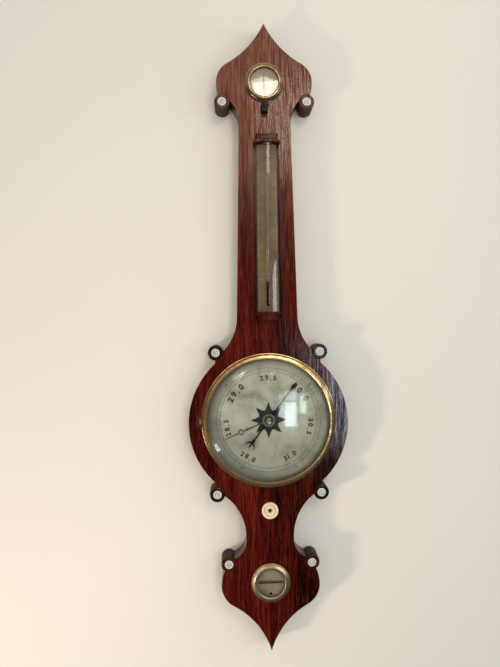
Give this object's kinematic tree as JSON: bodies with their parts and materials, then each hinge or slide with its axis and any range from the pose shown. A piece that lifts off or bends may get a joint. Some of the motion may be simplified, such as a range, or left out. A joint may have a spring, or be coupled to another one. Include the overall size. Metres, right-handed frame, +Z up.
{
  "type": "banjo barometer",
  "caption": "Banjo-shaped wall barometer: a siphon tube drives the dial hand, with a bone set knob, hygrometer, thermometer and spirit level in a rosewood-veneered case.",
  "frame": {"origin": "centre of the hanging hole in the back plane of the case", "axes": "+X to the right as seen from the front, +Y into the wall, +Z up; the dial faces -Y"},
  "size_m": [0.2546, 0.0484, 1],
  "materials": {
    "softwood": "oiled",
    "rosewood": "french polish",
    "dark_rosewood": "french polish",
    "pearl": "polished shell",
    "brass": "lacquered",
    "silvered_brass": "silvered, tarnished",
    "black_lacquer": "satin",
    "blued_steel": "blued",
    "steel": "polished",
    "bone": "polished bone",
    "glass": "clear",
    "mercury": "liquid mirror",
    "spirit": "dyed spirit",
    "vial": "spirit and bubble",
    "silk": "twisted",
    "gut": "twisted gut",
    "boxwood": "turned",
    "white_enamel": "satin",
    "ebony": "ebonised"
  },
  "bodies": {
    "case": {"carcass": "softwood", "front_veneer": "rosewood", "head_rolls": "dark_rosewood", "drum_rolls": "dark_rosewood", "tail_rolls": "dark_rosewood", "pearl_discs": "pearl", "neck_cover": "softwood", "hinge_case_leaves": "brass", "hinge_pins": "steel", "hanging_plate": "brass", "brass_screws": "brass", "front_screws": "brass", "dial_plate": "silvered_brass", "dial_star": "black_lacquer", "dial_bush": "brass", "bezel_hinge_leaf": "brass", "set_bush": "brass", "set_cord": "gut", "movement_plate": "brass", "movement_bridge": "brass", "siphon_tube": "glass", "mercury": "mercury", "upper_mercury": "mercury", "lower_mercury": "mercury", "tube_straps": "brass", "float_thread": "silk", "weight_thread": "silk", "hygrometer_cup": "brass", "hygrometer_dial": "white_enamel", "hygrometer_glass": "glass", "hygrometer_bezel": "brass", "thermometer_scale": "silvered_brass", "thermometer_tube": "glass", "thermometer_spirit": "spirit", "thermometer_glass": "glass", "thermometer_caps": "dark_rosewood", "level_plate": "silvered_brass", "level_vial": "vial", "level_glass": "glass", "level_bezel": "brass"},
    "indicator": {"indicating_hand": "blued_steel", "hand_cap": "brass", "hand_arbor": "steel", "float_pulley": "boxwood"},
    "float": {"float": "glass"},
    "counterweight": {"counterweight": "steel"},
    "set_pointer": {"set_hand": "brass", "set_cannon": "brass"},
    "set_knob": {"set_knob": "bone", "set_arbor": "steel"},
    "hygrometer_pointer": {"hygrometer_hand": "blued_steel", "hygrometer_arbor": "brass"},
    "catch": {"hygrometer_catch": "ebony"},
    "dial_bezel": {"bezel": "brass", "bezel_glass": "glass", "glass_ring": "brass"},
    "back_door": {"back_door": "softwood", "hinge_door_leaves": "brass", "door_screws": "brass"},
    "turn_button": {"turn_button": "brass"}
  },
  "joints": [
    {"name": "indicator_turn", "type": "hinge", "parent": "case", "child": "indicator", "pos_m": [0, -0.0334, -0.5803], "axis": [0, 1, 0], "range_deg": [-192, 118]},
    {"name": "float_slide", "type": "slide", "parent": "case", "child": "float", "axis": [0, 0, -1], "range_m": [-0.0246, 0.0152], "deforming": ["float_thread", "lower_mercury"]},
    {"name": "weight_slide", "type": "slide", "parent": "case", "child": "counterweight", "axis": [0, 0, 1], "range_m": [-0.0246, 0.0152], "deforming": ["weight_thread", "upper_mercury"]},
    {"name": "set_hand_turn", "type": "hinge", "parent": "case", "child": "set_pointer", "pos_m": [0, -0.0316, -0.5803], "axis": [0, 1, 0], "continuous": true},
    {"name": "set_knob_turn", "type": "hinge", "parent": "case", "child": "set_knob", "pos_m": [0, -0.0334, -0.7238], "axis": [0, 1, 0], "continuous": true},
    {"name": "hygrometer_turn", "type": "hinge", "parent": "case", "child": "hygrometer_pointer", "pos_m": [0, -0.026, -0.044], "axis": [0, 1, 0], "range_deg": [-80, 80]},
    {"name": "catch_turn", "type": "hinge", "parent": "case", "child": "catch", "pos_m": [0, -0.0333, -0.0832], "axis": [0, 1, 0], "range_deg": [-90, 90]},
    {"name": "bezel_hinge", "type": "hinge", "parent": "case", "child": "dial_bezel", "pos_m": [-0.109, -0.0349, -0.5803], "axis": [0, 0, -1], "range_deg": [0, 100]},
    {"name": "door_hinge", "type": "hinge", "parent": "case", "child": "back_door", "pos_m": [0.0275, -0.0025, -0.5803], "axis": [0, 0, -1], "range_deg": [0, 90]},
    {"name": "button_turn", "type": "hinge", "parent": "case", "child": "turn_button", "pos_m": [-0.036, -0.0002, -0.5803], "axis": [0, 1, 0], "range_deg": [0, 90]}
  ],
  "couplings": [
    {"joint": "float_slide", "follows": "indicator_turn", "m_per_rad": 0.00728},
    {"joint": "weight_slide", "follows": "indicator_turn", "m_per_rad": 0.00728},
    {"joint": "set_hand_turn", "follows": "set_knob_turn", "ratio": 0.61111}
  ]
}
